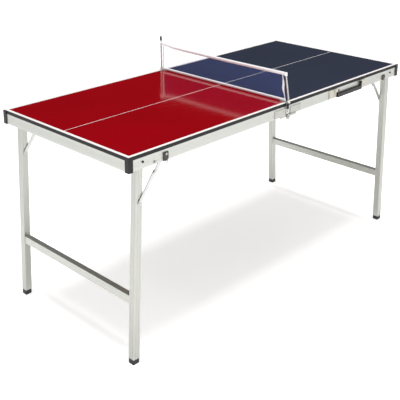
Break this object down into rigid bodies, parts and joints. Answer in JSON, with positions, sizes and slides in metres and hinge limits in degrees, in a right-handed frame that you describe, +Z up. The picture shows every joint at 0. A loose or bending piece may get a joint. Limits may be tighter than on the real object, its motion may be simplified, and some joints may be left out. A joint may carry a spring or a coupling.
{
  "type": "folding table tennis table",
  "caption": "Folding table tennis table: red and navy boards in aluminium rails hinged at the middle, folding square legs with knee braces, a net on brackets and a carry handle.",
  "frame": {"origin": "on the floor under the centre of the table", "axes": "+X along the length towards the navy half, +Y across the width towards the far side, +Z up"},
  "size_m": [1.528, 0.678, 0.8724],
  "materials": {
    "red_top": "fibreboard with a glossy red painted playing surface and thin white lines",
    "navy_top": "fibreboard with a satin navy painted playing surface and thin white lines",
    "edge_band": "satin black edge band",
    "rail_metal": "satin anodised extrusion with fine lengthwise grooves",
    "leg_metal": "satin anodised square tube",
    "guard_plastic": "satin black moulded plastic",
    "foot_rubber": "dull dark rubber",
    "brace_steel": "zinc plated flat bar",
    "hardware_steel": "zinc plated",
    "bolt_steel": "dark plated",
    "bush_plastic": "dull black nylon",
    "bracket_steel": "dark painted steel",
    "hinge_metal": "satin plate",
    "strap_metal": "satin strap",
    "post_metal": "bright plated rod",
    "cap_plastic": "black moulded plastic",
    "net_fabric": "fine pale blue mesh with white tapes",
    "knob_plastic": "black moulded plastic",
    "grip_plastic": "black moulded plastic",
    "mount_plastic": "bright cream moulded plastic"
  },
  "bodies": {
    "red_half": {"red_board": "red_top", "red_edge_trim": "edge_band", "red_end_rail": "rail_metal", "red_near_rail": "rail_metal", "red_far_rail": "rail_metal", "red_joint_rail": "rail_metal", "red_corner_guards": "guard_plastic", "red_frame_screws": "hardware_steel", "red_brace_brackets": "bracket_steel", "red_rail_rivets": "hardware_steel", "red_leg_pivot_bolts": "bolt_steel", "red_leg_pivot_bushes": "bush_plastic", "red_hinge_plates": "hinge_metal", "red_rail_block": "bracket_steel", "hinge_pins": "hardware_steel", "near_net_bracket": "strap_metal", "far_net_bracket": "strap_metal", "near_net_post": "post_metal", "far_net_post": "post_metal", "far_post_cap": "cap_plastic", "net": "net_fabric"},
    "red_legs": {"red_near_leg": "leg_metal", "red_far_leg": "leg_metal", "red_leg_crossbar": "leg_metal", "red_near_foot": "foot_rubber", "red_far_foot": "foot_rubber", "red_leg_brace_rivets": "hardware_steel"},
    "navy_half": {"navy_board": "navy_top", "navy_edge_trim": "edge_band", "navy_end_rail": "rail_metal", "navy_near_rail": "rail_metal", "navy_far_rail": "rail_metal", "navy_joint_rail": "rail_metal", "navy_corner_guards": "guard_plastic", "navy_frame_screws": "hardware_steel", "navy_brace_brackets": "bracket_steel", "navy_rail_rivets": "hardware_steel", "navy_leg_pivot_bolts": "bolt_steel", "navy_leg_pivot_bushes": "bush_plastic", "navy_hinge_plates": "hinge_metal", "navy_rail_block": "bracket_steel", "handle_mounts": "mount_plastic"},
    "navy_legs": {"navy_near_leg": "leg_metal", "navy_far_leg": "leg_metal", "navy_leg_crossbar": "leg_metal", "navy_near_foot": "foot_rubber", "navy_far_foot": "foot_rubber", "navy_leg_brace_rivets": "hardware_steel"},
    "red_near_brace_upper_bar": {"red_near_brace_upper": "brace_steel"},
    "red_near_brace_lower_bar": {"red_near_brace_lower": "brace_steel"},
    "red_far_brace_upper_bar": {"red_far_brace_upper": "brace_steel"},
    "red_far_brace_lower_bar": {"red_far_brace_lower": "brace_steel"},
    "navy_near_brace_upper_bar": {"navy_near_brace_upper": "brace_steel"},
    "navy_near_brace_lower_bar": {"navy_near_brace_lower": "brace_steel"},
    "navy_far_brace_upper_bar": {"navy_far_brace_upper": "brace_steel"},
    "navy_far_brace_lower_bar": {"navy_far_brace_lower": "brace_steel"},
    "near_thumb_screw": {"near_bracket_screw": "knob_plastic"},
    "far_thumb_screw": {"far_bracket_screw": "knob_plastic"},
    "carry_handle": {"handle": "grip_plastic"},
    "hanging_ring": {"bracket_ring": "hardware_steel"}
  },
  "joints": [
    {"name": "middle_fold", "type": "hinge", "parent": "red_half", "child": "navy_half", "pos_m": [0, 0, 0.676], "axis": [0, 1, 0], "range_deg": [0, 90]},
    {"name": "red_leg_fold", "type": "hinge", "parent": "red_half", "child": "red_legs", "pos_m": [-0.706, 0, 0.703], "axis": [0, -1, 0], "range_deg": [0, 92.9]},
    {"name": "red_near_brace_upper_turn", "type": "hinge", "parent": "red_half", "child": "red_near_brace_upper_bar", "pos_m": [-0.612, -0.3227, 0.703], "axis": [0, -1, 0], "range_deg": [-53.41, 0]},
    {"name": "red_near_brace_lower_turn", "type": "hinge", "parent": "red_legs", "child": "red_near_brace_lower_bar", "pos_m": [-0.71288, -0.3193, 0.56717], "axis": [0, -1, 0], "range_deg": [0, 33.71]},
    {"name": "red_far_brace_upper_turn", "type": "hinge", "parent": "red_half", "child": "red_far_brace_upper_bar", "pos_m": [-0.612, 0.2863, 0.703], "axis": [0, -1, 0], "range_deg": [-53.41, 0]},
    {"name": "red_far_brace_lower_turn", "type": "hinge", "parent": "red_legs", "child": "red_far_brace_lower_bar", "pos_m": [-0.71288, 0.2897, 0.56717], "axis": [0, -1, 0], "range_deg": [0, 33.71]},
    {"name": "navy_leg_fold", "type": "hinge", "parent": "navy_half", "child": "navy_legs", "pos_m": [0.706, 0, 0.703], "axis": [0, 1, 0], "range_deg": [0, 92.9]},
    {"name": "navy_near_brace_upper_turn", "type": "hinge", "parent": "navy_half", "child": "navy_near_brace_upper_bar", "pos_m": [0.612, -0.2863, 0.703], "axis": [0, 1, 0], "range_deg": [-53.41, 0]},
    {"name": "navy_near_brace_lower_turn", "type": "hinge", "parent": "navy_legs", "child": "navy_near_brace_lower_bar", "pos_m": [0.71288, -0.2897, 0.56717], "axis": [0, 1, 0], "range_deg": [0, 33.71]},
    {"name": "navy_far_brace_upper_turn", "type": "hinge", "parent": "navy_half", "child": "navy_far_brace_upper_bar", "pos_m": [0.612, 0.3227, 0.703], "axis": [0, 1, 0], "range_deg": [-53.41, 0]},
    {"name": "navy_far_brace_lower_turn", "type": "hinge", "parent": "navy_legs", "child": "navy_far_brace_lower_bar", "pos_m": [0.71288, 0.3193, 0.56717], "axis": [0, 1, 0], "range_deg": [0, 33.71]},
    {"name": "near_screw_travel", "type": "slide", "parent": "red_half", "child": "near_thumb_screw", "axis": [0, -1, 0], "range_m": [0, 0.01]},
    {"name": "far_screw_travel", "type": "slide", "parent": "red_half", "child": "far_thumb_screw", "axis": [0, 1, 0], "range_m": [0, 0.01]},
    {"name": "handle_swing", "type": "hinge", "parent": "navy_half", "child": "carry_handle", "pos_m": [0.391, -0.3345, 0.71], "axis": [-1, 0, 0], "range_deg": [0, 100]},
    {"name": "ring_swing", "type": "hinge", "parent": "red_half", "child": "hanging_ring", "pos_m": [-0.612, -0.331, 0.682], "axis": [-1, 0, 0], "range_deg": [-12, 88]}
  ],
  "couplings": [
    {"joint": "red_near_brace_upper_turn", "follows": "red_leg_fold", "ratio": -0.57479},
    {"joint": "red_near_brace_lower_turn", "follows": "red_leg_fold", "ratio": 0.36278},
    {"joint": "red_far_brace_upper_turn", "follows": "red_leg_fold", "ratio": -0.57479},
    {"joint": "red_far_brace_lower_turn", "follows": "red_leg_fold", "ratio": 0.36278},
    {"joint": "navy_near_brace_upper_turn", "follows": "navy_leg_fold", "ratio": -0.57479},
    {"joint": "navy_near_brace_lower_turn", "follows": "navy_leg_fold", "ratio": 0.36278},
    {"joint": "navy_far_brace_upper_turn", "follows": "navy_leg_fold", "ratio": -0.57479},
    {"joint": "navy_far_brace_lower_turn", "follows": "navy_leg_fold", "ratio": 0.36278}
  ]
}
